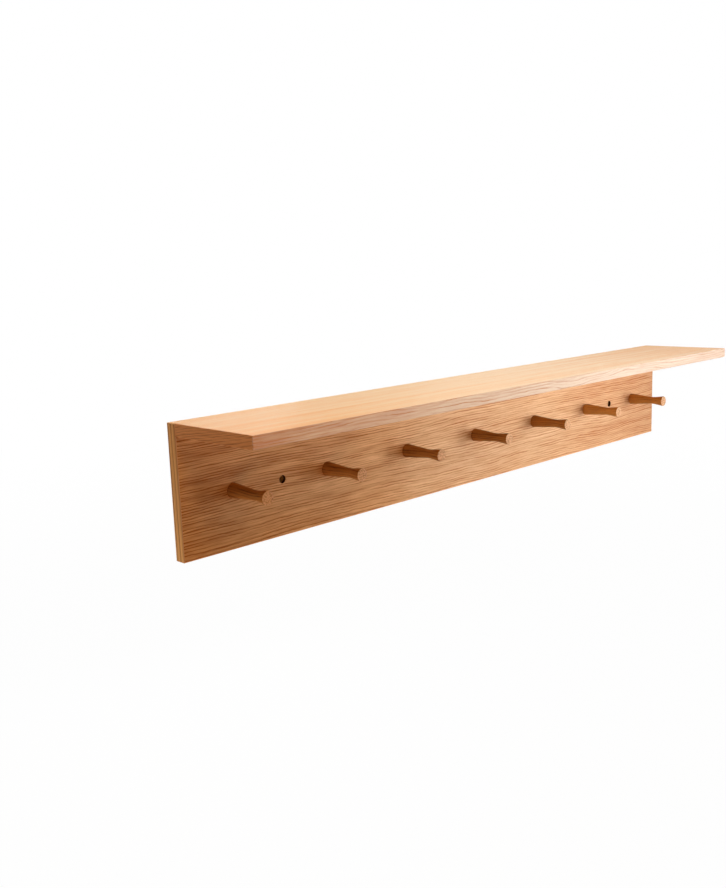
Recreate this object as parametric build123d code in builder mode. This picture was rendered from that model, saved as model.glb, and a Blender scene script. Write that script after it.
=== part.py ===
from build123d import *
import math
import os

# Wall rail with seven turned pegs and a shelf along its top.
# The back panel hangs flat on a wall. The shelf is butted against the panel's front and held by
# screws from behind and by glued dowels. Each peg has a tenon, glued into a blind hole.
# Both boards are fibreboard cores with oak veneer on their faces and oak bands on their edges.
#
# Frame: origin midway between the two wall screw holes, on the wall face. +X runs to the right as
# one faces the rail, +Y points into the wall, +Z is up. All lengths are millimetres.

# ---------------------------------------------------------------- boards
length = 1050.0              # panel and shelf, end to end
panel_height = 160.0
panel_thickness = 15.0
shelf_depth = 137.0          # from the panel's front to the shelf's front edge
shelf_thickness = 15.0
veneer = 0.6                 # face veneers of both boards
band = 1.0                   # edge bands of both boards
arris = 0.5                  # rounding of the bands' outer edges
arris_limit = 0.9            # most of a band's thickness that its rounding may take

# ---------------------------------------------------------------- pegs
peg_count = 7
peg_end_distance = 75.0      # first and last peg from the rail's ends
peg_line_height = 70.5       # pegs and wall screws above the panel's bottom edge
peg_projection = 63.0        # from the panel's front to the flat tip
peg_base_diameter = 19.0
peg_tip_diameter = 17.2
peg_waist_diameter = 11.3    # where the two tapers would meet
peg_waist_distance = 42.0    # from the panel's front
peg_waist_rounding = 55.0    # blends the two tapers
peg_tip_rounding = 0.8
tenon_diameter = 10.0
tenon_chamfer = 0.8

# ---------------------------------------------------------------- wall screw holes
wall_hole_diameter = 5.0
wall_recess_diameter = 10.0  # takes the screw's head
wall_recess_depth = 5.0
wall_recess_easing = 0.3     # cone at the recess's mouth
wall_recess_angle = 90.0

# ---------------------------------------------------------------- shelf screws and dowels
shelf_fixing_count = 7       # screws and dowels in turn, a screw at each end
shelf_fixing_end_distance = 75.0
screw_diameter = 4.0
screw_length = 50.0
screw_head_diameter = 8.0
screw_head_rim = 0.2         # straight rim above the head's cone
screw_head_sink = 0.2        # head below the wall face
screw_head_angle = 90.0
screw_point_length = 5.0
screw_point_diameter = 0.6
drive_width = 0.9            # cross recess in the head
drive_span = 4.4
drive_depth = 2.0
drive_taper = 6.0
dowel_diameter = 8.0
dowel_length = 30.0
dowel_chamfer = 0.8
dowel_flute_count = 8
dowel_flute_diameter = 0.8

# ---------------------------------------------------------------- fits
glue_clearance = 0.05        # radial, tenons and dowels in their holes
screw_clearance = 0.25       # radial, screws through the panel
head_clearance = 0.05        # screw head in its countersink
pilot_clearance = 0.05       # radial, screws in the shelf
hole_end_gap = 1.0           # room for glue beyond a tenon, dowel or screw
blind_wall = 3.0             # wood left behind the panel's blind holes

# ---------------------------------------------------------------- places
panel_bottom = -peg_line_height
panel_top = panel_bottom + panel_height
panel_mid_height = (panel_top + panel_bottom) / 2
panel_core_thickness = panel_thickness - 2 * veneer
shelf_bottom = panel_top - shelf_thickness
shelf_mid_height = panel_top - shelf_thickness / 2
shelf_front = panel_thickness + shelf_depth
board_length = length - 2 * band
shelf_board_depth = shelf_depth - band
shelf_board_mid = panel_thickness + shelf_board_depth / 2
band_rounding = min(arris, arris_limit * band)

peg_pitch = (length - 2 * peg_end_distance) / (peg_count - 1)
peg_places = [-length / 2 + peg_end_distance + index * peg_pitch for index in range(peg_count)]
wall_screw_spacing = peg_places[-1] - peg_places[0] - peg_pitch

fixing_pitch = (length - 2 * shelf_fixing_end_distance) / (shelf_fixing_count - 1)
fixing_places = [
    -length / 2 + shelf_fixing_end_distance + index * fixing_pitch
    for index in range(shelf_fixing_count)
]
screw_places = fixing_places[0::2]
dowel_places = fixing_places[1::2]

blind_hole_depth = panel_thickness - blind_wall
insert_depth = blind_hole_depth - hole_end_gap
dowel_depth_in_shelf = dowel_length - insert_depth
screw_depth_in_shelf = screw_length + screw_head_sink - panel_thickness
head_slope = math.tan(math.radians(screw_head_angle / 2))
head_cone_length = (screw_head_diameter - screw_diameter) / 2 / head_slope
head_depth = screw_head_sink + screw_head_rim
sink_mouth_radius = screw_head_diameter / 2 + head_depth * head_slope + head_clearance

# Plane seen from the wall, local x to -X and local y to +Z, with its normal into the wall.
wall_face = Plane(origin=(0, 0, 0), x_dir=(-1, 0, 0), z_dir=(0, 1, 0))
shelf_joint = Plane(origin=(0, -panel_thickness, 0), x_dir=(-1, 0, 0), z_dir=(0, 1, 0))
# Plane seen from the room, local x to +X and local y to +Z, with its normal out of the panel.
panel_front = Plane.XZ.offset(panel_thickness)


def outward_plane(place, height, depth):
    """Plane through a turned piece's axis: local x runs out of the wall and local y is up."""
    return Plane(origin=(place, -depth, height), x_dir=(0, -1, 0), z_dir=(-1, 0, 0))


def drill_panel():
    """Drill every hole of the panel in the layer that is being built."""
    with Locations(panel_front):
        with Locations(*[(place, 0) for place in peg_places]):
            Hole(radius=tenon_diameter / 2 + glue_clearance, depth=blind_hole_depth)
        with Locations(*[(place, shelf_mid_height) for place in dowel_places]):
            Hole(radius=dowel_diameter / 2 + glue_clearance, depth=blind_hole_depth)
        with GridLocations(wall_screw_spacing, 0, 2, 1):
            Hole(radius=wall_hole_diameter / 2, depth=panel_thickness)
            CounterSinkHole(
                radius=wall_recess_diameter / 2,
                counter_sink_radius=wall_recess_diameter / 2 + wall_recess_easing,
                counter_sink_angle=wall_recess_angle,
                depth=wall_recess_depth,
            )
    with Locations(wall_face):
        with Locations(*[(-place, shelf_mid_height) for place in screw_places]):
            CounterSinkHole(
                radius=screw_diameter / 2 + screw_clearance,
                counter_sink_radius=sink_mouth_radius,
                counter_sink_angle=screw_head_angle,
                depth=panel_thickness,
            )


def drill_shelf():
    """Drill the pilot and dowel holes in the shelf's back edge."""
    with Locations(shelf_joint):
        with Locations(*[(-place, shelf_mid_height) for place in screw_places]):
            Hole(radius=screw_diameter / 2 + pilot_clearance, depth=screw_depth_in_shelf + hole_end_gap)
        with Locations(*[(-place, shelf_mid_height) for place in dowel_places]):
            Hole(radius=dowel_diameter / 2 + glue_clearance, depth=dowel_depth_in_shelf + hole_end_gap)


os.makedirs("parts", exist_ok=True)

# ================================================================ back panel
# Three layers, from the wall outwards, drilled as one board.
panel_layers = {
    "panel_rear_veneer": (0, veneer),
    "panel_core": (veneer, panel_core_thickness),
    "panel_front_veneer": (veneer + panel_core_thickness, veneer),
}
for layer_name, (layer_start, layer_thickness) in panel_layers.items():
    with BuildPart() as layer:
        with BuildSketch(Plane.XZ.offset(layer_start)):
            with Locations((0, panel_mid_height)):
                Rectangle(board_length, panel_height - 2 * band)
        extrude(amount=layer_thickness)
        drill_panel()
    layer.part.label = layer_name
    export_step(layer.part, f"parts/{layer_name}.step")

# The long bands run from end to end and cover the ends of the short ones.
with BuildPart() as panel_top_band:
    with BuildSketch(Plane.XY.offset(panel_top - band)):
        with Locations((0, -panel_thickness / 2)):
            Rectangle(length, panel_thickness)
    extrude(amount=band)
    top_edges = panel_top_band.faces().sort_by(Axis.Z)[-1].edges()
    corner_edges = panel_top_band.edges().filter_by(Axis.Z)
    fillet(top_edges + corner_edges, radius=band_rounding)
panel_top_band.part.label = "panel_top_band"
export_step(panel_top_band.part, "parts/panel_top_band.step")

with BuildPart() as panel_bottom_band:
    with BuildSketch(Plane.XY.offset(panel_bottom)):
        with Locations((0, -panel_thickness / 2)):
            Rectangle(length, panel_thickness)
    extrude(amount=band)
    bottom_edges = panel_bottom_band.faces().sort_by(Axis.Z)[0].edges()
    corner_edges = panel_bottom_band.edges().filter_by(Axis.Z)
    fillet(bottom_edges + corner_edges, radius=band_rounding)
panel_bottom_band.part.label = "panel_bottom_band"
export_step(panel_bottom_band.part, "parts/panel_bottom_band.step")

with BuildPart() as panel_left_band:
    with BuildSketch(Plane.XY.offset(panel_bottom + band)):
        with Locations((-length / 2 + band / 2, -panel_thickness / 2)):
            Rectangle(band, panel_thickness)
    extrude(amount=panel_height - 2 * band)
    outer_edges = panel_left_band.edges().filter_by(Axis.Z).group_by(Axis.X)[0]
    fillet(outer_edges, radius=band_rounding)
panel_left_band.part.label = "panel_left_band"
export_step(panel_left_band.part, "parts/panel_left_band.step")

with BuildPart() as panel_right_band:
    mirror(panel_left_band.part, about=Plane.YZ)
panel_right_band.part.label = "panel_right_band"
export_step(panel_right_band.part, "parts/panel_right_band.step")

# ================================================================ shelf
with BuildPart() as shelf_core:
    with BuildSketch(Plane.XY.offset(shelf_bottom + veneer)):
        with Locations((0, -shelf_board_mid)):
            Rectangle(board_length, shelf_board_depth)
    extrude(amount=shelf_thickness - 2 * veneer)
    drill_shelf()
shelf_core.part.label = "shelf_core"
export_step(shelf_core.part, "parts/shelf_core.step")

shelf_veneers = {
    "shelf_bottom_veneer": shelf_bottom,
    "shelf_top_veneer": panel_top - veneer,
}
for veneer_name, veneer_height in shelf_veneers.items():
    with BuildPart() as shelf_veneer:
        with BuildSketch(Plane.XY.offset(veneer_height)):
            with Locations((0, -shelf_board_mid)):
                Rectangle(board_length, shelf_board_depth)
        extrude(amount=veneer)
    shelf_veneer.part.label = veneer_name
    export_step(shelf_veneer.part, f"parts/{veneer_name}.step")

with BuildPart() as shelf_front_band:
    with BuildSketch(Plane.XZ.offset(shelf_front - band)):
        with Locations((0, shelf_mid_height)):
            Rectangle(length, shelf_thickness)
    extrude(amount=band)
    front_edges = shelf_front_band.faces().sort_by(Axis.Y)[0].edges()
    corner_edges = shelf_front_band.edges().filter_by(Axis.Y)
    fillet(front_edges + corner_edges, radius=band_rounding)
shelf_front_band.part.label = "shelf_front_band"
export_step(shelf_front_band.part, "parts/shelf_front_band.step")

# The end bands are rounded at the back too, so a fine groove marks the joint with the panel.
with BuildPart() as shelf_left_band:
    with BuildSketch(Plane.XZ.offset(panel_thickness)):
        with Locations((-length / 2 + band / 2, shelf_mid_height)):
            Rectangle(band, shelf_thickness)
    extrude(amount=shelf_board_depth)
    outer_face = shelf_left_band.faces().sort_by(Axis.X)[0]
    long_edges = outer_face.edges().filter_by(Axis.Y)
    joint_edge = outer_face.edges().sort_by(Axis.Y)[-1:]
    fillet(long_edges + joint_edge, radius=band_rounding)
shelf_left_band.part.label = "shelf_left_band"
export_step(shelf_left_band.part, "parts/shelf_left_band.step")

with BuildPart() as shelf_right_band:
    mirror(shelf_left_band.part, about=Plane.YZ)
shelf_right_band.part.label = "shelf_right_band"
export_step(shelf_right_band.part, "parts/shelf_right_band.step")

# ================================================================ turned pegs
# A taper from the base to the waist, a flare to the flat tip, and a tenon behind the shoulder.
for peg_number, peg_place in enumerate(peg_places, start=1):
    peg_plane = outward_plane(peg_place, 0, panel_thickness)
    with BuildPart() as peg:
        with BuildSketch(peg_plane) as peg_profile:
            with BuildLine():
                Polyline(
                    (-insert_depth, 0),
                    (-insert_depth, tenon_diameter / 2 - tenon_chamfer),
                    (-insert_depth + tenon_chamfer, tenon_diameter / 2),
                    (0, tenon_diameter / 2),
                    (0, peg_base_diameter / 2),
                    (peg_waist_distance, peg_waist_diameter / 2),
                    (peg_projection, peg_tip_diameter / 2),
                    (peg_projection, 0),
                    close=True,
                )
            make_face()
            waist_corner = (peg_waist_distance, peg_waist_diameter / 2)
            tip_corner = (peg_projection, peg_tip_diameter / 2)
            fillet(peg_profile.vertices().sort_by_distance(waist_corner)[0], radius=peg_waist_rounding)
            fillet(peg_profile.vertices().sort_by_distance(tip_corner)[0], radius=peg_tip_rounding)
        revolve(axis=Axis(peg_plane.origin, peg_plane.x_dir))
    peg.part.label = f"peg_{peg_number}"
    export_step(peg.part, f"parts/peg_{peg_number}.step")

# ================================================================ shelf screws
# Countersunk wood screws. The thread is left as a plain shank of its outer diameter.
for screw_number, screw_place in enumerate(screw_places, start=1):
    screw_plane = outward_plane(screw_place, shelf_mid_height, screw_head_sink)
    head_top = Plane(origin=screw_plane.origin, x_dir=(1, 0, 0), z_dir=(0, -1, 0))
    with BuildPart() as shelf_screw:
        with BuildSketch(screw_plane):
            with BuildLine():
                Polyline(
                    (0, 0),
                    (0, screw_head_diameter / 2),
                    (screw_head_rim, screw_head_diameter / 2),
                    (screw_head_rim + head_cone_length, screw_diameter / 2),
                    (screw_length - screw_point_length, screw_diameter / 2),
                    (screw_length, screw_point_diameter / 2),
                    (screw_length, 0),
                    close=True,
                )
            make_face()
        revolve(axis=Axis(screw_plane.origin, screw_plane.x_dir))
        with BuildSketch(head_top):
            Rectangle(drive_span, drive_width)
            Rectangle(drive_width, drive_span)
        extrude(amount=drive_depth, taper=drive_taper, mode=Mode.SUBTRACT)
    shelf_screw.part.label = f"shelf_screw_{screw_number}"
    export_step(shelf_screw.part, f"parts/shelf_screw_{screw_number}.step")

# ================================================================ shelf dowels
# Fluted dowels with chamfered ends. The flutes let glue and air out of the holes.
for dowel_number, dowel_place in enumerate(dowel_places, start=1):
    dowel_plane = outward_plane(dowel_place, shelf_mid_height, panel_thickness - insert_depth)
    dowel_end = Plane(origin=dowel_plane.origin, x_dir=(1, 0, 0), z_dir=(0, -1, 0))
    with BuildPart() as shelf_dowel:
        with BuildSketch(dowel_plane):
            with BuildLine():
                Polyline(
                    (0, 0),
                    (0, dowel_diameter / 2 - dowel_chamfer),
                    (dowel_chamfer, dowel_diameter / 2),
                    (dowel_length - dowel_chamfer, dowel_diameter / 2),
                    (dowel_length, dowel_diameter / 2 - dowel_chamfer),
                    (dowel_length, 0),
                    close=True,
                )
            make_face()
        revolve(axis=Axis(dowel_plane.origin, dowel_plane.x_dir))
        with BuildSketch(dowel_end):
            with PolarLocations(dowel_diameter / 2, dowel_flute_count):
                Circle(dowel_flute_diameter / 2)
        extrude(amount=dowel_length, mode=Mode.SUBTRACT)
    shelf_dowel.part.label = f"shelf_dowel_{dowel_number}"
    export_step(shelf_dowel.part, f"parts/shelf_dowel_{dowel_number}.step")
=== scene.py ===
import logging
import math
from abc import ABC, abstractmethod
from collections.abc import Iterator, Mapping, Sequence
from dataclasses import dataclass, replace
from enum import Enum
from typing import Any

import bpy
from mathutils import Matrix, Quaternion, Vector


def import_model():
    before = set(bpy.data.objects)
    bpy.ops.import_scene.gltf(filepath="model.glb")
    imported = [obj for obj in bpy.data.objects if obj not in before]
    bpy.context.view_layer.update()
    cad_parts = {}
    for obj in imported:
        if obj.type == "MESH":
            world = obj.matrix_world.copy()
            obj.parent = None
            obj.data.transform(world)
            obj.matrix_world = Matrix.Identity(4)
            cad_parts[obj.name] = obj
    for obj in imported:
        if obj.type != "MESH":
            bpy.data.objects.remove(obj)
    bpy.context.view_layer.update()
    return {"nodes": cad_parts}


log = logging.getLogger("peg_rail")

Colour = tuple[float, float, float]
Place = tuple[float, float, float]
Span = tuple[float, float]      # where a smooth step begins, and where it ends
Stop = tuple[float, float]      # a place on a ramp and its grey, both from 0 to 1

MILLIMETRES = 1000.0            # in a metre: the frame is in metres, the finishes in millimetres
NOISE_MEAN = 0.5                # what smooth noise comes to on average
ORIGIN: Place = (0.0, 0.0, 0.0)
WHITE: Colour = (1.0, 1.0, 1.0)


# ---------------------------------------------------------------- shader graphs
class Mixing(Enum):
    """How a second colour is laid over a first."""

    COVER = "MIX"
    TINT = "MULTIPLY"


class Patch(Enum):
    """Parts of the noise field, chosen so that no two patterns of one finish are alike."""

    FIRST = 0.0
    BEECH_FIBRES = 2.0
    END_GRAIN = 2.9
    BANDS = 3.1
    BOARD_LAYERS = 4.0
    WAVER = 5.3
    SCRATCHES = 6.0
    FIBRES = 7.7
    STREAKS = 8.4
    PORES = 11.9
    BREAKS = 17.3


@dataclass(frozen=True)
class Signal:
    """One output of a shader graph. Python's operators on it add Math nodes."""

    graph: "ShaderGraph"
    socket: bpy.types.NodeSocket

    def __add__(self, other: "Signal | float") -> "Signal":
        """Sum of two numbers."""
        return self.graph.math("ADD", self, other)

    __radd__ = __add__

    def __sub__(self, other: "Signal | float") -> "Signal":
        """This number less another."""
        return self.graph.math("SUBTRACT", self, other)

    def __rsub__(self, other: "Signal | float") -> "Signal":
        """Another number less this one."""
        return self.graph.math("SUBTRACT", other, self)

    def __mul__(self, other: "Signal | float") -> "Signal":
        """Product of two numbers."""
        return self.graph.math("MULTIPLY", self, other)

    __rmul__ = __mul__

    def __truediv__(self, other: "Signal | float") -> "Signal":
        """This number over another."""
        return self.graph.math("DIVIDE", self, other)

    def __rtruediv__(self, other: "Signal | float") -> "Signal":
        """Another number over this one."""
        return self.graph.math("DIVIDE", other, self)

    def __pow__(self, other: "Signal | float") -> "Signal":
        """This number to a power."""
        return self.graph.math("POWER", self, other)

    def __rpow__(self, other: "Signal | float") -> "Signal":
        """Another number to the power of this one."""
        return self.graph.math("POWER", other, self)

    def fraction(self) -> "Signal":
        """What is left of the number above its whole part."""
        return self.graph.math("FRACT", self)

    def clamped(self) -> "Signal":
        """The number, kept between 0 and 1."""
        return self.graph.math("ADD", self, 0.0, clamp=True)

    def at_least(self, other: "Signal | float") -> "Signal":
        """The larger of two numbers."""
        return self.graph.math("MAXIMUM", self, other)

    def rise(self, low: float, high: float) -> "Signal":
        """Smooth step, 0 below low and 1 above high.

        Args:
            low: Where the step begins.
            high: Where it ends. A value under low makes the step fall.

        Returns:
            The stepped number.
        """
        node = self.graph.node(
            "ShaderNodeMapRange",
            {"interpolation_type": "SMOOTHSTEP"},
            {"Value": self, "From Min": low, "From Max": high},
        )
        return Signal(self.graph, node.outputs["Result"])


class ShaderGraph:
    """Node tree of a material or a world, filled by expressions."""

    def __init__(self, tree: bpy.types.NodeTree) -> None:
        """Start from an empty tree.

        Args:
            tree: The node tree to fill.
        """
        self.tree = tree
        self.tree.nodes.clear()

    def node(
        self,
        kind: str,
        settings: Mapping[str, Any] | None = None,
        inputs: Mapping[str | int, Any] | None = None,
    ) -> bpy.types.Node:
        """Add a node, set it up and feed its sockets.

        Args:
            kind: Blender's name for the type of node.
            settings: Properties of the node. "stops" lists the stops of a ramp.
            inputs: A signal, a socket or a plain value for each socket, by its name or number.

        Returns:
            The new node.
        """
        node = self.tree.nodes.new(kind)
        for name, value in (settings or {}).items():
            if name == "stops":
                self._set_stops(node.color_ramp, value)
            else:
                setattr(node, name, value)
        for key, value in (inputs or {}).items():
            socket = node.inputs[key]
            if isinstance(value, Signal):
                self.tree.links.new(value.socket, socket)
            elif isinstance(value, bpy.types.NodeSocket):
                self.tree.links.new(value, socket)
            elif socket.type == "RGBA" and len(value) == 3:
                socket.default_value = (*value, 1.0)
            else:
                socket.default_value = value
        return node

    @staticmethod
    def _set_stops(ramp: bpy.types.ColorRamp, stops: Sequence[Stop]) -> None:
        """Give a ramp its grey stops.

        Args:
            ramp: The ramp, as Blender makes it with two stops.
            stops: The stops, in order.
        """
        while len(ramp.elements) < len(stops):
            ramp.elements.new(1.0)
        for element, (place, grey) in zip(ramp.elements, stops):
            element.position = place
            element.color = (grey, grey, grey, 1.0)

    def math(self, operation: str, first: Any, second: Any = 0.0, clamp: bool = False) -> Signal:
        """Add a Math node.

        Args:
            operation: The node's operation.
            first: Signal or number.
            second: Signal or number.
            clamp: Whether the result is kept between 0 and 1.

        Returns:
            The result.
        """
        settings = {"operation": operation, "use_clamp": clamp}
        node = self.node("ShaderNodeMath", settings, {0: first, 1: second})
        return Signal(self, node.outputs[0])

    def vector(self, x: Any, y: Any, z: Any) -> Signal:
        """Join three numbers into a vector."""
        return Signal(self, self.node("ShaderNodeCombineXYZ", {}, {0: x, 1: y, 2: z}).outputs[0])

    def split(self, vector: Signal) -> tuple[Signal, Signal, Signal]:
        """The three numbers of a vector."""
        node = self.node("ShaderNodeSeparateXYZ", {}, {0: vector})
        return tuple(Signal(self, output) for output in node.outputs)

    def scaled(self, vector: Signal, factors: Place, shift: Place = ORIGIN) -> Signal:
        """Scale a vector along each axis, then shift it.

        Args:
            vector: The vector.
            factors: Factor for each axis.
            shift: What is added after scaling.

        Returns:
            The new vector.
        """
        inputs = {0: vector, 1: factors, 2: shift}
        node = self.node("ShaderNodeVectorMath", {"operation": "MULTIPLY_ADD"}, inputs)
        return Signal(self, node.outputs[0])

    def metres(self) -> Signal:
        """The frame's coordinates, in metres."""
        return Signal(self, self.node("ShaderNodeTexCoord").outputs["Object"])

    def millimetres(self) -> Signal:
        """The frame's coordinates, in millimetres."""
        return self.scaled(self.metres(), (MILLIMETRES,) * 3)

    def noise(
        self, vector: Signal, length: Place, detail: float = 2.0, patch: Patch = Patch.FIRST
    ) -> Signal:
        """Smooth noise from 0 to 1, stretched along the vector's axes.

        Args:
            vector: Where the noise is read.
            length: Length of one blotch along each axis, in the vector's units.
            detail: Number of finer octaves.
            patch: Part of the noise field that is read.

        Returns:
            The noise.
        """
        factors = tuple(1.0 / measure for measure in length)
        spot = self.scaled(vector, factors, (patch.value,) * 3)
        inputs = {"Vector": spot, "Scale": 1.0, "Detail": detail}
        node = self.node("ShaderNodeTexNoise", {"noise_dimensions": "3D"}, inputs)
        return Signal(self, node.outputs[0])

    def noise_along(self, value: Signal, length: float) -> Signal:
        """Smooth noise from 0 to 1 along one number.

        Args:
            value: Where the noise is read.
            length: Length of one rise and fall, in the number's units.

        Returns:
            The noise.
        """
        inputs = {"W": value / length, "Scale": 1.0, "Detail": 1.0}
        node = self.node("ShaderNodeTexNoise", {"noise_dimensions": "1D"}, inputs)
        return Signal(self, node.outputs[0])

    def ramp(self, value: Signal, stops: Sequence[Stop]) -> Signal:
        """A number passed through a curve of grey stops."""
        node = self.node("ShaderNodeValToRGB", {"stops": stops}, {0: value})
        return Signal(self, node.outputs[0])

    def blend(self, factor: Any, first: Any, second: Any, mixing: Mixing = Mixing.COVER) -> Signal:
        """Mix two colours.

        Args:
            factor: Share of the second colour.
            first: Colour or signal.
            second: Colour or signal.
            mixing: How the second is laid over the first.

        Returns:
            The mixed colour.
        """
        settings = {"data_type": "RGBA", "blend_type": mixing.value, "clamp_factor": True}
        node = self.node("ShaderNodeMix", settings, {0: factor, 6: first, 7: second})
        return Signal(self, node.outputs[2])

    def bump(self, height: Signal, depth: float) -> Signal:
        """Normal that follows a height.

        Args:
            height: The height, 0 to 1.
            depth: What a height of 1 stands for, in metres.

        Returns:
            The bent normal.
        """
        node = self.node("ShaderNodeBump", {}, {"Strength": 1.0, "Distance": depth, "Height": height})
        return Signal(self, node.outputs[0])

    def surface(self, shader: bpy.types.Node, output: str = "ShaderNodeOutputMaterial") -> None:
        """Make a shader the tree's result."""
        self.node(output, {}, {"Surface": shader.outputs[0]})

    def principled(self, inputs: Mapping[str, Any]) -> None:
        """Make a Principled shader with these inputs the tree's result."""
        self.surface(self.node("ShaderNodeBsdfPrincipled", {}, inputs))

    def either(self, factor: Signal, first: bpy.types.Node, second: bpy.types.Node) -> bpy.types.Node:
        """Mix two shaders.

        Args:
            factor: Share of the second shader.
            first: Node of the first shader.
            second: Node of the second shader.

        Returns:
            Node of the mixed shader.
        """
        inputs = {0: factor, 1: first.outputs[0], 2: second.outputs[0]}
        return self.node("ShaderNodeMixShader", {}, inputs)

    def looked_at(self) -> Signal:
        """Tell the rays that look from those that light.

        Returns:
            1 for rays from the camera, also reflected or refracted, and 0 for those that carry light.
        """
        path = self.node("ShaderNodeLightPath")
        camera = Signal(self, path.outputs["Is Camera Ray"])
        glossy = Signal(self, path.outputs["Is Glossy Ray"])
        refracted = Signal(self, path.outputs["Is Transmission Ray"])
        return camera.at_least(glossy).at_least(refracted)


def new_material(name: str) -> tuple[bpy.types.Material, ShaderGraph]:
    """Make an empty material.

    Args:
        name: The material's name.

    Returns:
        The material and its graph.
    """
    material = bpy.data.materials.new(name)
    material.use_nodes = True
    return material, ShaderGraph(material.node_tree)


# ---------------------------------------------------------------- finishes
class Grain(Enum):
    """Axes of the frame along the grain, across it on the piece's broad side, and into the piece."""

    RAIL_UPRIGHT = ("X", "Z", "Y")
    RAIL_FLAT = ("X", "Y", "Z")
    UPRIGHT_END = ("Z", "Y", "X")
    OUTWARD_END = ("Y", "Z", "X")
    TURNED = ("Y", "X", "Z")

    def coordinates(self, graph: ShaderGraph, shift: Place = ORIGIN) -> Signal:
        """Coordinates of a log from which a piece was cut.

        Args:
            graph: The material's graph.
            shift: Where in the log the piece was cut, in millimetres.

        Returns:
            Millimetres along the grain, across it and into the piece.
        """
        axes = dict(zip("XYZ", graph.split(graph.metres())))
        turned = graph.vector(*(axes[axis] for axis in self.value))
        return graph.scaled(turned, (MILLIMETRES,) * 3, shift)


@dataclass(frozen=True)
class WoodField:
    """What the oak is like at each point of a piece."""

    graph: ShaderGraph
    wood: Signal                # millimetres along the grain, across it and into the piece
    metres: Signal              # metres along the grain from the frame's origin
    line: Signal                # openness of the wood, from 0 in summer wood to 1 where a ring begins
    pores: Signal               # open pores, from 0 to 1
    fibres: Signal              # fine streaks, from -0.5 to 0.5


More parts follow.
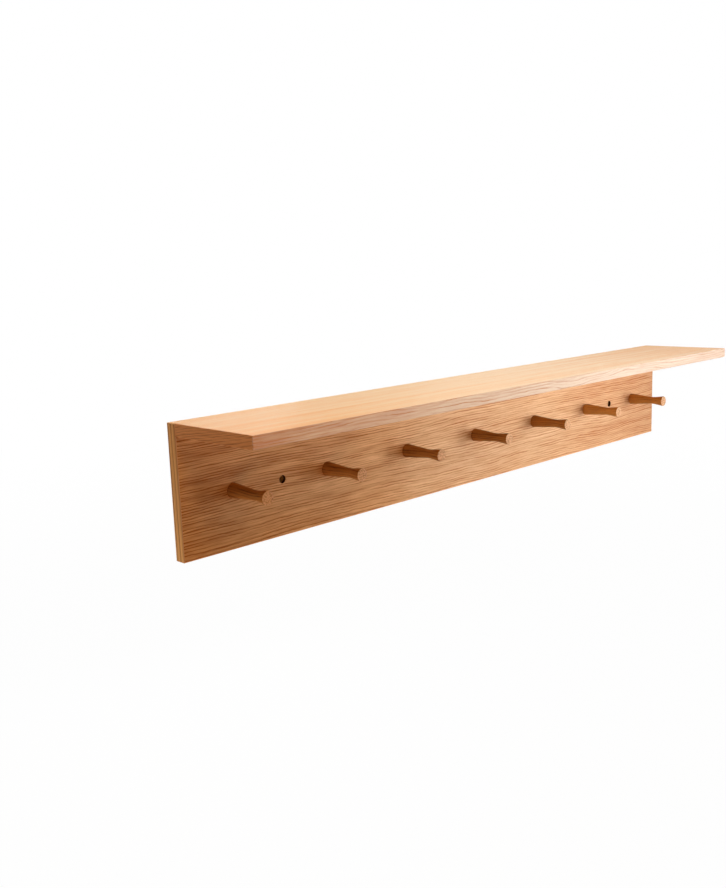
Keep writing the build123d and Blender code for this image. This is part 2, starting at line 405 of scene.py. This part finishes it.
@dataclass(frozen=True)
class Oak:
    """Oiled oak as a solid field of growth rings, so that any cut through it shows the right figure.

    Lengths are millimetres of wood, measured along the grain, across it and into the piece.
    """

    pale: Colour = (0.96, 0.68, 0.40)       # summer wood between the pore lines
    deep: Colour = (0.39, 0.125, 0.022)     # spring wood, where the pores are open
    pore: Colour = (0.36, 0.10, 0.015)
    deep_right: Colour | None = None        # the deep colour towards the right end, where it differs
    turn_right: Span = (-0.45, 0.0)         # metres from the middle over which it takes over
    left_shade_tint: Colour | None = None            # painted shade: a warm, darker tint laid over the wood towards the left end, where less light falls
    left_shade_span: Span = (0.0, -0.25)        # metres from the middle over which it comes in

    tone: float = 0.0                       # share of the deep colour in all of the wood
    drift: float = 0.0                      # change of that share over a metre along the grain
    bow: float = 0.0                        # rise of that share a metre to either side of the middle
    calm_and_washout: float = 0.0                       # share of its contrast that the figure loses over a metre, partly the wood's own calmer figure and partly painted washing-out in brighter light

    ring_width: float = 2.7
    ring_wander: float = 2.0                # rings by which their count runs ahead or falls behind
    wander_length: float = 19.0
    ring_profile: tuple[Stop, ...] = (      # openness from where one ring begins to where the next does
        (0.0, 0.15), (0.1, 1.0), (0.28, 0.5), (0.5, 0.1), (0.85, 0.0), (1.0, 0.15),
    )
    heart_across: float = -170.0            # middle of the log, from the frame's origin
    heart_depth: float = 100.0
    lean: float = 0.01                      # slant of the log's middle across the piece
    taper: float = 0.01                     # widening of the log along the grain
    sway: float = 13.0                      # slow drift of the figure
    sway_length: Place = (260.0, 110.0, 110.0)
    waver: float = 2.0                      # small waves of each pore line
    waver_length: Place = (20.0, 6.0, 6.0)

    line_strength: float = 0.82
    line_mean: float = 0.2                  # what the lines come to on average, which calming them keeps
    fade_gain: float = 1.7                  # whole rings fade and come back
    fade_loss: float = 0.05
    fade_length: float = 5.0
    break_floor: float = 0.25               # what is left of a pore line where it breaks
    break_levels: Span = (0.3, 0.62)        # of the noise, from broken to whole
    break_length: Place = (70.0, 4.0, 4.0)
    band_strength: float = 0.68             # broad darker and paler stripes
    band_length: Place = (240.0, 15.0, 15.0)
    streak_strength: float = 0.76           # narrower stripes, a few millimetres across
    streak_length: Place = (45.0, 2.3, 2.3)
    fibre_strength: float = 0.6
    fibre_length: Place = (34.0, 0.9, 0.9)
    pore_strength: float = 0.4
    pore_levels: Span = (0.52, 0.66)        # of the noise, from closed to open
    pore_length: Place = (7.0, 0.34, 0.34)
    stray_pores: float = 0.2                # share of the pores that lie away from the pore lines

    roughness: float = 0.42
    pore_roughness: float = 0.2
    fibre_roughness: float = 0.12
    specular: float = 0.09
    relief: float = 0.00002                 # depth of the open pores, in metres
    line_relief: float = 0.25               # the same of the pore lines, as a share of it
    fibre_relief: float = 0.3

    def material(self, name: str, grain: Grain, shift: Place = ORIGIN) -> bpy.types.Material:
        """Make the oak for one piece.

        Args:
            name: The material's name.
            grain: How the wood lies in the piece.
            shift: Where in the log the piece was cut, in millimetres.

        Returns:
            The material.
        """
        material, graph = new_material(name)
        wood = grain.coordinates(graph, shift)
        metres = (graph.split(wood)[0] - shift[0]) / MILLIMETRES
        line = self.pore_lines(graph, wood)
        pores = self.open_pores(graph, wood, line)
        fibres = graph.noise(wood, self.fibre_length, detail=3.0, patch=Patch.FIBRES) - NOISE_MEAN
        roughness = self.roughness + pores * self.pore_roughness + fibres * self.fibre_roughness
        height = 1.0 - pores - line * self.line_relief + fibres * self.fibre_relief
        graph.principled(
            {
                "Base Color": self.colour(WoodField(graph, wood, metres, line, pores, fibres)),
                "Roughness": roughness.clamped(),
                "Specular IOR Level": self.specular,
                "Normal": graph.bump(height, self.relief),
            }
        )
        return material

    def pore_lines(self, graph: ShaderGraph, wood: Signal) -> Signal:
        """Lay the growth rings through the wood.

        Args:
            graph: The material's graph.
            wood: Millimetres along the grain, across it and into the piece.

        Returns:
            How open the wood is, from 0 in summer wood to 1 where a new ring begins.
        """
        along, across, depth = graph.split(wood)
        sway = (graph.noise(wood, self.sway_length, detail=1.0) - NOISE_MEAN) * self.sway
        waver = (graph.noise(wood, self.waver_length, patch=Patch.WAVER) - NOISE_MEAN) * self.waver
        sideways = across - self.heart_across - along * self.lean + sway
        inwards = depth - self.heart_depth - sway
        distance = (sideways * sideways + inwards * inwards) ** 0.5
        radius = distance + along * self.taper + waver
        wander = (graph.noise_along(radius, self.wander_length) - NOISE_MEAN) * self.ring_wander
        rings = radius / self.ring_width + wander
        line = graph.ramp(rings.fraction(), self.ring_profile)
        fade = graph.noise_along(radius, self.fade_length) * self.fade_gain - self.fade_loss
        return line * fade.clamped()

    def open_pores(self, graph: ShaderGraph, wood: Signal, line: Signal) -> Signal:
        """Scatter the open pores, short dashes along the grain that crowd where a ring begins.

        Args:
            graph: The material's graph.
            wood: Millimetres along the grain, across it and into the piece.
            line: Openness of the wood, from 0 to 1.

        Returns:
            The pores, from 0 to 1.
        """
        noise = graph.noise(wood, self.pore_length, detail=1.0, patch=Patch.PORES)
        share = line * (1.0 - self.stray_pores) + self.stray_pores
        return noise.rise(*self.pore_levels) * share

    def tones(self, field: WoodField) -> Signal:
        """Add up the stripes of the figure and the slow changes along the rail.

        Args:
            field: The wood.

        Returns:
            Share of the deep colour, from 0 to 1.
        """
        bands = field.graph.noise(field.wood, self.band_length, detail=3.0, patch=Patch.BANDS)
        streaks = field.graph.noise(field.wood, self.streak_length, patch=Patch.STREAKS)
        whole = field.graph.noise(field.wood, self.break_length, detail=1.0, patch=Patch.BREAKS)
        breaks = whole.rise(*self.break_levels) * (1.0 - self.break_floor) + self.break_floor
        figure = (
            (field.line * breaks - self.line_mean) * self.line_strength
            + (bands - NOISE_MEAN) * self.band_strength
            + (streaks - NOISE_MEAN) * self.streak_strength
            + field.fibres * self.fibre_strength
        )
        # The drift and bow terms paint light into the tone: deeper where less light falls along the
        # piece, paler where light and sheen are strongest.
        tone = (
            figure * (1.0 - field.metres * self.calm_and_washout)
            + field.metres * self.drift
            + field.metres * field.metres * self.bow
            + (self.tone + self.line_mean * self.line_strength)
        )
        return tone.clamped()

    def colour(self, field: WoodField) -> Signal:
        """Colour the wood.

        Args:
            field: The wood.

        Returns:
            The colour.
        """
        deep: Colour | Signal = self.deep
        if self.deep_right:
            deep = field.graph.blend(field.metres.rise(*self.turn_right), self.deep, self.deep_right)
        plain = field.graph.blend(self.tones(field), self.pale, deep)
        # Painted shade: a warm, darker tint over the wood towards the left end.
        if self.left_shade_tint:
            share = field.metres.rise(*self.left_shade_span)
            plain = field.graph.blend(share, plain, self.left_shade_tint, Mixing.TINT)
        return field.graph.blend(field.pores * self.pore_strength, plain, self.pore)


@dataclass(frozen=True)
class TurnedOak(Oak):
    """Oak of a peg, whose tip shows the paler end grain."""

    tip_pale: Colour = (0.85, 0.54, 0.32)
    tip_deep: Colour = (0.44, 0.22, 0.11)
    tip_plane: float = -78.0                # where the tip lies, out from the wall
    tip_span: Span = (0.6, 0.1)             # behind it, from the first end grain to end grain alone
    tip_tone: float = -1.45
    tip_line_strength: float = 0.45
    fleck_strength: float = 3.4
    fleck_length: Place = (1.8, 9.0, 1.8)   # across the peg, along it and up

    def colour(self, field: WoodField) -> Signal:
        """Colour the wood, with the end grain laid over the tip.

        Args:
            field: The wood.

        Returns:
            The colour.
        """
        spot = field.graph.millimetres()
        outwards = field.graph.split(spot)[1]
        flecks = field.graph.noise(spot, self.fleck_length, detail=3.0, patch=Patch.END_GRAIN)
        tone = field.line * self.tip_line_strength + flecks * self.fleck_strength + self.tip_tone
        tip = field.graph.blend(tone.clamped(), self.tip_pale, self.tip_deep)
        start, whole = self.tip_span
        at_tip = outwards.rise(self.tip_plane + start, self.tip_plane + whole)
        return field.graph.blend(at_tip, super().colour(field), tip)


@dataclass(frozen=True)
class EndBandOak(Oak):
    """Oak of the panel's end bands, whose narrow edge shows beside the front veneer."""

    edge_pale: Colour = (0.74, 0.50, 0.32)
    edge_deep: Colour = (0.46, 0.25, 0.13)
    edge_plane: float = -15.0               # where the narrow edge lies across the grain
    edge_span: Span = (0.3, 0.1)            # behind it, from the edge's first tones to those alone
    edge_tone: float = 0.5
    edge_fibre_strength: float = 1.6

    def colour(self, field: WoodField) -> Signal:
        """Colour the wood, with the narrow edge in the tones of the front veneer.

        Args:
            field: The wood.

        Returns:
            The colour.
        """
        tone = field.fibres * self.edge_fibre_strength + self.edge_tone
        edge = field.graph.blend(tone.clamped(), self.edge_pale, self.edge_deep)
        across = field.graph.split(field.wood)[1]
        start, whole = self.edge_span
        at_edge = across.rise(self.edge_plane + start, self.edge_plane + whole)
        return field.graph.blend(at_edge, super().colour(field), edge)


@dataclass(frozen=True)
class Fibreboard:
    """Raw fibreboard of the cores, which the screw recesses lay bare."""

    pale: Colour = (0.56, 0.38, 0.16)
    deep: Colour = (0.34, 0.21, 0.08)
    felt_strength: float = 1.6              # matted fibres
    felt_mean: float = 0.3
    felt_length: Place = (1.6, 0.7, 1.6)
    layer_strength: float = 0.4             # denser and looser layers
    layer_length: Place = (30.0, 2.2, 30.0)
    recess_floor: float | None = None       # where the recesses end, out from the wall, in millimetres
    painted_recess_shade: Colour = (0.05, 0.02, 0.008)  # their walls, painted near black for the shade inside the recesses
    recess_shade_span: Span = (-0.1, -0.5)        # off their floor, from bare board to the painted shade
    roughness: float = 0.8
    felt_roughness: float = 0.15
    specular: float = 0.2
    relief: float = 0.0001                  # in metres

    def material(self, name: str) -> bpy.types.Material:
        """Make the board's material.

        Args:
            name: The material's name.

        Returns:
            The material.
        """
        material, graph = new_material(name)
        board = graph.millimetres()
        felt = graph.noise(board, self.felt_length, detail=4.0)
        layers = graph.noise(board, self.layer_length, detail=1.0, patch=Patch.BOARD_LAYERS)
        tone = (felt - self.felt_mean) * self.felt_strength + (layers - NOISE_MEAN) * self.layer_strength
        colour = graph.blend(tone.clamped(), self.pale, self.deep)
        if self.recess_floor is not None:
            # Painted shade: the recess walls are darkened near black.
            start, whole = self.recess_shade_span
            wall = graph.split(board)[1].rise(self.recess_floor + start, self.recess_floor + whole)
            colour = graph.blend(wall, colour, self.painted_recess_shade)
        graph.principled(
            {
                "Base Color": colour,
                "Roughness": (self.roughness + felt * self.felt_roughness).clamped(),
                "Specular IOR Level": self.specular,
                "Normal": graph.bump(felt, self.relief),
            }
        )
        return material


@dataclass(frozen=True)
class Beech:
    """Raw beech of the dowels, pale with short flecks."""

    pale: Colour = (0.62, 0.42, 0.26)
    deep: Colour = (0.45, 0.26, 0.14)
    fleck_strength: float = 0.5
    fleck_levels: Span = (0.55, 0.68)       # of the noise, from plain wood to fleck
    fleck_length: Place = (2.4, 0.35, 0.35)
    fibre_length: Place = (22.0, 0.6, 0.6)
    roughness: float = 0.62
    fibre_roughness: float = 0.15
    specular: float = 0.3
    relief: float = 0.00008                 # in metres

    def material(self, name: str) -> bpy.types.Material:
        """Make the dowels' material.

        Args:
            name: The material's name.

        Returns:
            The material.
        """
        material, graph = new_material(name)
        wood = Grain.TURNED.coordinates(graph)
        flecks = graph.noise(wood, self.fleck_length, detail=1.0).rise(*self.fleck_levels)
        fibres = graph.noise(wood, self.fibre_length, detail=3.0, patch=Patch.BEECH_FIBRES)
        tone = flecks * self.fleck_strength + (fibres - NOISE_MEAN)
        graph.principled(
            {
                "Base Color": graph.blend(tone.clamped(), self.pale, self.deep),
                "Roughness": (self.roughness + fibres * self.fibre_roughness).clamped(),
                "Specular IOR Level": self.specular,
                "Normal": graph.bump(fibres, self.relief),
            }
        )
        return material


@dataclass(frozen=True)
class ZincPlate:
    """Bright zinc plate on the screws, with faint tumbling marks."""

    bright: Colour = (0.66, 0.67, 0.66)
    dull: Colour = (0.48, 0.48, 0.47)
    cloud_length: Place = (1.1, 1.1, 1.1)
    scratch_length: Place = (0.12, 1.8, 0.12)
    roughness: float = 0.22
    cloud_roughness: float = 0.2
    scratch_roughness: float = 0.08
    relief: float = 0.00002                 # in metres

    def material(self, name: str) -> bpy.types.Material:
        """Make the screws' material.

        Args:
            name: The material's name.

        Returns:
            The material.
        """
        material, graph = new_material(name)
        metal = graph.millimetres()
        clouds = graph.noise(metal, self.cloud_length, detail=3.0)
        scratches = graph.noise(metal, self.scratch_length, patch=Patch.SCRATCHES)
        marks = clouds * self.cloud_roughness + scratches * self.scratch_roughness
        graph.principled(
            {
                "Base Color": graph.blend(clouds, self.bright, self.dull),
                "Metallic": 1.0,
                "Roughness": (self.roughness + marks).clamped(),
                "Normal": graph.bump(scratches, self.relief),
            }
        )
        return material


TOP_OAK_WITH_PAINTED_SHEEN = Oak(                  # oak of all that faces up, paler and whiter than the other oak: painted sheen from the light above, deepening towards both ends so that the painted sheen is strongest in the middle
    pale=(0.95, 0.80, 0.60),
    deep=(0.86, 0.52, 0.21),
    drift=0.25,
    bow=3.2,
    line_strength=0.9,
    streak_strength=0.8,
    pore_strength=0.2,
)


# ---------------------------------------------------------------- sub-assemblies
@dataclass
class SubAssembly(ABC):
    """Pieces of the rail that are finished together."""

    nodes: Mapping[str, bpy.types.Object]

    @abstractmethod
    def dress(self) -> Iterator[str]:
        """Finish the pieces one by one.

        Yields:
            The name of each finished piece.
        """

    def finish(self, name: str, material: bpy.types.Material) -> str:
        """Give one piece its finish.

        Args:
            name: The piece, by its name in the frame.
            material: Its finish.

        Returns:
            The piece's name.
        """
        for slot in self.nodes[name].material_slots:
            slot.material = material
        return name


@dataclass
class BackPanel(SubAssembly):
    """The board that hangs on the wall: core, two face veneers and four edge bands."""

    core: Fibreboard = Fibreboard(recess_floor=-10.0)
    # Painted light: the front deepens towards both ends and takes a warm, darker tint at the left end,
    # painted shade where less light falls, so its paler middle stands for the brighter light there. Its
    # figure loses contrast towards the right, partly the board's own and partly painted washing-out in
    # the brighter light.
    face: Oak = Oak(
        deep=(0.355, 0.135, 0.02),
        deep_right=(0.43, 0.105, 0.008),
        left_shade_tint=(1.0, 0.91, 0.78),
        tone=0.25,
        drift=-0.04,
        bow=1.05,
        calm_and_washout=0.5,
    )
    top_band: Oak = TOP_OAK_WITH_PAINTED_SHEEN
    bottom_band: Oak = Oak(pale=(0.92, 0.50, 0.20), deep=(0.60, 0.25, 0.09))
    end_band: EndBandOak = EndBandOak(
        pale=(0.97, 0.58, 0.22),
        deep=(0.36, 0.135, 0.04),
        tone=0.12,
        # Painted shade: the end bands deepen towards the top, where less light reaches them, and pale
        # towards the bottom.
        drift=1.8,
        ring_width=5.5,
        ring_wander=1.2,
        heart_across=-900.0,
        heart_depth=0.0,
        taper=0.0,
        sway=0.0,
        waver=0.8,
        waver_length=(120.0, 7.0, 7.0),
        line_strength=1.2,
        break_length=(400.0, 3.0, 3.0),
        band_strength=0.4,
        specular=0.08,
    )
    rear_cut: Place = (310.0, 37.0, 0.0)    # where in the log the rear veneer was cut
    band_cut: Place = (140.0, 60.0, 0.0)    # and the long bands
    end_step: float = 90.0                  # from the left band to the right one, along the log

    def dress(self) -> Iterator[str]:
        """Finish the panel's pieces one by one.

        Yields:
            The name of each finished piece.
        """
        yield self.finish("panel_core", self.core.material("panel_fibreboard"))
        for side, cut in (("front", ORIGIN), ("rear", self.rear_cut)):
            oak = self.face.material(f"panel_{side}_oak", Grain.RAIL_UPRIGHT, cut)
            yield self.finish(f"panel_{side}_veneer", oak)
        for side, band in (("top", self.top_band), ("bottom", self.bottom_band)):
            oak = band.material(f"panel_{side}_band_oak", Grain.RAIL_FLAT, self.band_cut)
            yield self.finish(f"panel_{side}_band", oak)
        for side, along in (("left", 0.0), ("right", self.end_step)):
            oak = self.end_band.material(f"panel_{side}_band_oak", Grain.UPRIGHT_END, (along, 0.0, 0.0))
            yield self.finish(f"panel_{side}_band", oak)


@dataclass
class Shelf(SubAssembly):
    """The board along the panel's top: core, two face veneers and three edge bands."""

    core: Fibreboard = Fibreboard()
    face: Oak = replace(
        TOP_OAK_WITH_PAINTED_SHEEN,
        heart_across=190.0,
        heart_depth=-120.0,
        band_strength=2.0,
        band_length=(600.0, 14.0, 14.0),
        specular=0.15,
    )
    # Painted light on the shelf's front edge: its whitish pale colour and paler right end are partly the
    # edge's paler wood and partly painted sheen, its deeper ends are painted shade where less light
    # falls, and its figure washes out towards the right.
    front_band: Oak = Oak(
        pale=(0.78, 0.68, 0.575),
        deep=(0.47, 0.17, 0.015),
        tone=0.03,
        drift=-0.5,
        bow=1.65,
        calm_and_washout=0.6,
        heart_across=20.0,
        heart_depth=-90.0,
        sway=12.0,
        sway_length=(130.0, 40.0, 40.0),
        line_strength=0.8,
        pore_strength=0.3,
        specular=0.8,
    )
    end_band: Oak = Oak(
        pale=(0.79, 0.37, 0.14),
        deep=(0.38, 0.135, 0.036),
        tone=0.1,
        ring_width=2.2,
        heart_across=-400.0,
        heart_depth=0.0,
        lean=-0.16,
        sway=3.0,
        sway_length=(90.0, 40.0, 40.0),
        waver=1.4,
        line_strength=0.9,
        specular=0.08,
    )
    bottom_cut: Place = (270.0, 33.0, 0.0)  # where in the log the bottom veneer was cut
    end_step: float = 120.0                 # from the left band to the right one, along the log

    def dress(self) -> Iterator[str]:
        """Finish the shelf's pieces one by one.

        Yields:
            The name of each finished piece.
        """
        yield self.finish("shelf_core", self.core.material("shelf_fibreboard"))
        for side, cut in (("top", ORIGIN), ("bottom", self.bottom_cut)):
            oak = self.face.material(f"shelf_{side}_oak", Grain.RAIL_FLAT, cut)
            yield self.finish(f"shelf_{side}_veneer", oak)
        oak = self.front_band.material("shelf_front_band_oak", Grain.RAIL_UPRIGHT)
        yield self.finish("shelf_front_band", oak)
        for side, along in (("left", 0.0), ("right", self.end_step)):
            oak = self.end_band.material(f"shelf_{side}_band_oak", Grain.OUTWARD_END, (along, 0.0, 0.0))
            yield self.finish(f"shelf_{side}_band", oak)


@dataclass
class PegRow(SubAssembly):
    """The seven turned pegs, numbered from the left."""

    # Partly the pegs' own darker oak, partly painted shade: the very deep colour and strong dark figure
    # darken the pegs for the shade they lie in under the shelf.
    oak: TurnedOak = TurnedOak(
        pale=(0.42, 0.18, 0.045),
        deep=(0.066, 0.019, 0.003),
        pore=(0.05, 0.015, 0.003),
        ring_width=3.4,
        heart_across=10.0,
        heart_depth=70.0,
        lean=0.0,
        sway=3.0,
        sway_length=(80.0, 30.0, 30.0),
        waver=0.8,
        line_strength=0.8,
        band_strength=1.6,
        band_length=(200.0, 13.0, 13.0),
        fibre_strength=0.45,
        specular=0.04,
    )
    paler_lit_oak: TurnedOak = replace(oak, pale=(0.585, 0.29, 0.087), tone=-0.18)
    first_paler: int = 6        # number of the first paler peg: partly paler wood, partly painted light for the brighter light that the right-hand pegs catch
    pitch: float = 150.0        # millimetres from peg to peg
    step: float = 61.0          # from one peg's blank to the next, along the log
    depths: tuple[float, ...] = (51.0, 459.0, 340.0, 612.0, 119.0, 646.0, 646.0)  # of the blanks

    def dress(self) -> Iterator[str]:
        """Finish the pegs one by one.

        Yields:
            The name of each finished peg.
        """
        middle = (len(self.depths) + 1) / 2
        for number, depth in enumerate(self.depths, start=1):
            blank = self.paler_lit_oak if number >= self.first_paler else self.oak
            cut = (self.step * number, self.pitch * (middle - number), depth)
            oak = blank.material(f"peg_{number}_oak", Grain.TURNED, cut)
            yield self.finish(f"peg_{number}", oak)


@dataclass
class ShelfFixings(SubAssembly):
    """The screws and dowels that hold the shelf to the panel."""

    screw_count: int = 4
    dowel_count: int = 3
    zinc: ZincPlate = ZincPlate()
    beech: Beech = Beech()

    def dress(self) -> Iterator[str]:
        """Finish the fixings one by one.

        Yields:
            The name of each finished fixing.
        """
        plate = self.zinc.material("bright_zinc")
        for number in range(1, self.screw_count + 1):
            yield self.finish(f"shelf_screw_{number}", plate)
        wood = self.beech.material("raw_beech")
        for number in range(1, self.dowel_count + 1):
            yield self.finish(f"shelf_dowel_{number}", wood)


# ---------------------------------------------------------------- studio
def stand(name: str, data: bpy.types.ID, place: Place, turn: Quaternion) -> bpy.types.Object:
    """Stand a lamp or a camera in the studio.

    Args:
        name: The new object's name.
        data: The lamp or camera.
        place: Where it stands.
        turn: How it is turned.

    Returns:
        The new object.
    """
    thing = bpy.data.objects.new(name, data)
    thing.location = place
    thing.rotation_mode = "QUATERNION"
    thing.rotation_quaternion = turn
    bpy.context.scene.collection.objects.link(thing)
    return thing


@dataclass(frozen=True)
class Lamp:
    """A soft rectangular studio lamp. Lengths are metres."""

    name: str
    place: Place
    aim: Place
    width: float
    height: float
    power: float                # watts
    colour: Colour = WHITE
    spread: float = 180.0       # how widely its grid lets the light fan out, in degrees

    def build(self) -> None:
        """Hang the lamp and turn it to its aim."""
        light = bpy.data.lights.new(self.name, "AREA")
        light.shape = "RECTANGLE"
        light.size = self.width
        light.size_y = self.height
        light.energy = self.power
        light.color = self.colour
        light.spread = math.radians(self.spread)
        turn = (Vector(self.aim) - Vector(self.place)).to_track_quat("-Z", "Y")
        stand(self.name, light, self.place, turn)


@dataclass(frozen=True)
class Viewpoint:
    """The camera, to the left of the rail and a little above it, held not quite level.

    Angles are degrees: the azimuth from straight in front towards the right, the elevation from level.
    """

    place: Place = (-1.1246, -0.9151, 0.2532)
    azimuth: float = -44.668
    elevation: float = 10.346
    roll: float = -2.022
    lens: float = 39.62         # millimetres
    sensor: float = 36.0        # millimetres along the picture's long side

    def build(self) -> None:
        """Make the camera and look through it."""
        azimuth = math.radians(self.azimuth)
        elevation = math.radians(self.elevation)
        level = math.cos(elevation)
        back = Vector((math.sin(azimuth) * level, -math.cos(azimuth) * level, math.sin(elevation)))
        roll = Quaternion((0, 0, 1), math.radians(self.roll))
        data = bpy.data.cameras.new("viewpoint")
        data.lens = self.lens
        data.sensor_width = self.sensor
        turn = back.to_track_quat("Z", "Y") @ roll
        bpy.context.scene.camera = stand("viewpoint", data, self.place, turn)


@dataclass(frozen=True)
class Studio:
    """White room with a pale floor, a gridded key lamp and soft light from above and behind."""

    key: Lamp = Lamp(           # from the right, along the front and kept off its left end
        "key_lamp",
        place=(0.9, -1.3, -0.03),
        aim=(0.34, 0.0, 0.0),
        width=0.9,
        height=0.75,
        power=2.5,
        colour=(0.95, 0.97, 1.0),
        spread=45.0,
    )
    warm: Lamp = Lamp(          # from above and in front, on the top and the pegs
        "warm_lamp",
        place=(-0.4, -1.0, 1.2),
        aim=(-0.3, -0.15, 0.08),
        width=1.2,
        height=0.8,
        power=15.0,
        colour=(1.0, 0.54, 0.1),
    )
    top: Lamp = Lamp(           # from straight above
        "top_lamp",
        place=(0.0, -0.1, 1.45),
        aim=(0.0, -0.1, 0.0),
        width=1.2,
        height=0.9,
        power=9.0,
        colour=(1.0, 0.97, 0.93),
    )
    backdrop: Lamp = Lamp(      # from beyond the right end, for the shine of the shelf's front edge
        "backdrop_lamp",
        place=(2.8, 1.3, 0.5),
        aim=(0.2, 0.0, 0.05),
        width=2.0,
        height=1.2,
        power=5.5,
    )
    low: Lamp = Lamp(           # on the left ends of both boards
        "low_lamp",
        place=(-1.4, 0.2, -0.8),
        aim=(-0.5, 0.0, 0.0),
        width=0.8,
        height=0.6,
        power=6.0,
        colour=(1.0, 0.9, 0.84),
    )
    fill: Lamp = Lamp(          # into the shade at the left, under the shelf
        "fill_lamp",
        place=(-1.2, -1.0, -0.7),
        aim=(-0.5, 0.0, 0.0),
        width=1.0,
        height=0.8,
        power=2.7,
        colour=(1.0, 0.34, 0.04),
    )
    back: Lamp = Lamp(          # from behind, on the wall face alone
        "back_lamp",
        place=(0.5, 1.8, 0.0),
        aim=(0.0, 0.0, 0.0),
        width=1.2,
        height=0.6,
        power=16.0,
    )
    ambient: float = 0.02
    ambient_colour: Colour = (1.0, 0.6, 0.35)
    floor_height: float = -0.95
    floor_size: float = 60.0
    floor_colour: Colour = (0.86, 0.86, 0.86)
    near_white: float = 0.985   # share of plain white in the floor near the rail
    white_span: Span = (1.5, 6.0)           # distance over which the floor turns plain white

    def build(self) -> None:
        """Set up the world, the floor, the lamps and the plain colour view."""
        self.world()
        self.floor()
        for lamp in (self.key, self.warm, self.top, self.backdrop, self.low, self.fill, self.back):
            lamp.build()
            log.info("lamp %s", lamp.name)
        bpy.context.scene.view_settings.view_transform = "Standard"

    def world(self) -> None:
        """White where it is looked at, dim where it lights the rail."""
        world = bpy.data.worlds.new("white_room")
        world.use_nodes = True
        graph = ShaderGraph(world.node_tree)
        dim_inputs = {"Color": self.ambient_colour, "Strength": self.ambient}
        dim = graph.node("ShaderNodeBackground", {}, dim_inputs)
        white = graph.node("ShaderNodeBackground", {}, {"Color": WHITE, "Strength": 1.0})
        graph.surface(graph.either(graph.looked_at(), dim, white), "ShaderNodeOutputWorld")
        bpy.context.scene.world = world

    def floor(self) -> None:
        """Lay the floor, which fades into the white far away."""
        bpy.ops.object.select_all(action="DESELECT")
        bpy.ops.mesh.primitive_plane_add(size=self.floor_size, location=(0.0, 0.0, self.floor_height))
        bpy.ops.object.transform_apply(location=True, rotation=True, scale=True)
        floor = bpy.context.active_object
        floor.name = "floor"
        material, graph = new_material("pale_floor")
        x, y, _ = graph.split(graph.metres())
        away = ((x * x + y * y) ** 0.5).rise(*self.white_span)
        white = self.near_white + away * (1.0 - self.near_white)
        paint = graph.node("ShaderNodeBsdfDiffuse", {}, {"Color": self.floor_colour})
        glow = graph.node("ShaderNodeEmission", {}, {"Color": WHITE, "Strength": 1.0})
        graph.surface(graph.either(graph.looked_at() * white, paint, glow))
        floor.data.materials.append(material)


def main() -> None:
    """Load the frame, dress every sub-assembly and set up the studio."""
    logging.basicConfig(level=logging.INFO, format="%(message)s")
    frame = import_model()
    nodes = frame["nodes"]
    for assembly in (BackPanel(nodes), Shelf(nodes), PegRow(nodes), ShelfFixings(nodes)):
        for piece in assembly.dress():
            log.info("%s: %s", type(assembly).__name__, piece)
    Viewpoint().build()
    Studio().build()


if __name__ == "__main__":
    main()
